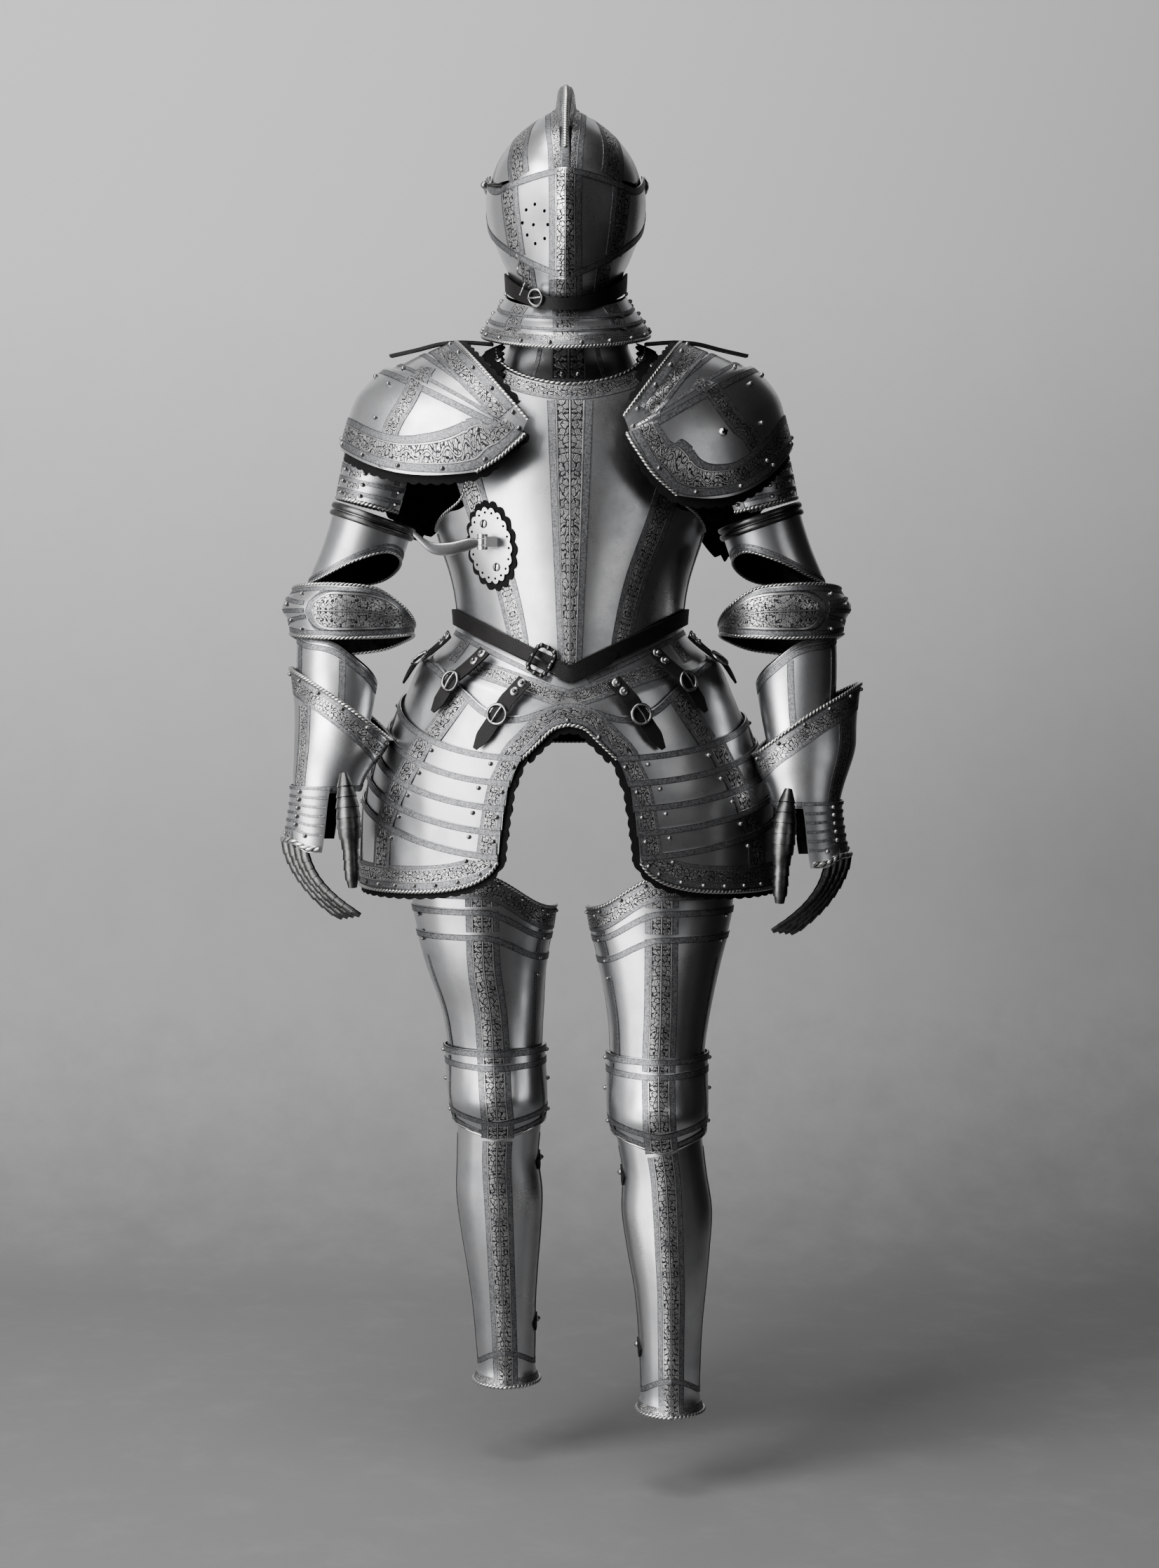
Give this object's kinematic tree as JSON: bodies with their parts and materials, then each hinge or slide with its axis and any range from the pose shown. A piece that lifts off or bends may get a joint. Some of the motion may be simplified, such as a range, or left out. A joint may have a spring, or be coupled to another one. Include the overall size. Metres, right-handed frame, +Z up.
{
  "type": "suit of plate armour",
  "caption": "Hollow suit of plate armour for a man, with a closed helmet, a lance rest, a hip skirt with hanging plates, gauntlets and leg plates, standing as worn.",
  "frame": {"origin": "middle of the waist, level with the belt at the sides, where the wearer's body carries the suit", "axes": "+Z up, -Y the way the wearer faces, +X the wearer's left"},
  "size_m": [0.7638, 0.3458, 1.7263],
  "materials": {
    "steel": "satin polish with etched bands",
    "leather": "dark, worn"
  },
  "bodies": {
    "suit": {"helmet_skull": "steel", "helmet_bevor": "steel", "collar_lame_1": "steel", "collar_lame_2": "steel", "collar_lame_3": "steel", "gorget": "steel", "breastplate": "steel", "backplate": "steel", "lance_rest_plate": "steel", "skirt_hoop_1": "steel", "skirt_hoop_2": "steel", "tasset_r_1": "steel", "tasset_r_2": "steel", "tasset_r_3": "steel", "tasset_r_4": "steel", "tasset_r_5": "steel", "tasset_l_1": "steel", "tasset_l_2": "steel", "tasset_l_3": "steel", "tasset_l_4": "steel", "tasset_l_5": "steel", "rump_guard": "steel", "pauldron_upper_r": "steel", "pauldron_r": "steel", "pauldron_lames_r": "steel", "upper_cannon_r": "steel", "couter_r": "steel", "lower_cannon_r": "steel", "gauntlet_cuff_r": "steel", "gauntlet_hand_r": "steel", "gauntlet_fingers_r": "steel", "gauntlet_thumb_r": "steel", "cuisse_r": "steel", "poleyn_r": "steel", "greave_r": "steel", "pauldron_upper_l": "steel", "pauldron_l": "steel", "pauldron_lames_l": "steel", "upper_cannon_l": "steel", "couter_l": "steel", "lower_cannon_l": "steel", "gauntlet_cuff_l": "steel", "gauntlet_hand_l": "steel", "gauntlet_fingers_l": "steel", "gauntlet_thumb_l": "steel", "cuisse_l": "steel", "poleyn_l": "steel", "greave_l": "steel", "neck_strap": "leather", "waist_belt": "leather", "tasset_strap_r_1": "leather", "tasset_strap_r_2": "leather", "tasset_strap_r_3": "leather", "tasset_strap_l_1": "leather", "tasset_strap_l_2": "leather", "tasset_strap_l_3": "leather"},
    "visor": {"helmet_visor": "steel", "helmet_peg": "steel"},
    "lance_rest": {"lance_rest_arm": "steel"}
  },
  "joints": [
    {"name": "visor_hinge", "type": "hinge", "parent": "suit", "child": "visor", "pos_m": [-0.004, 0.005, 0.6], "axis": [-1, 0, 0], "range_deg": [0, 40]},
    {"name": "lance_rest_hinge", "type": "hinge", "parent": "suit", "child": "lance_rest", "pos_m": [-0.11, -0.13, 0.11], "axis": [0, 0, 1], "range_deg": [0, 80]}
  ]
}
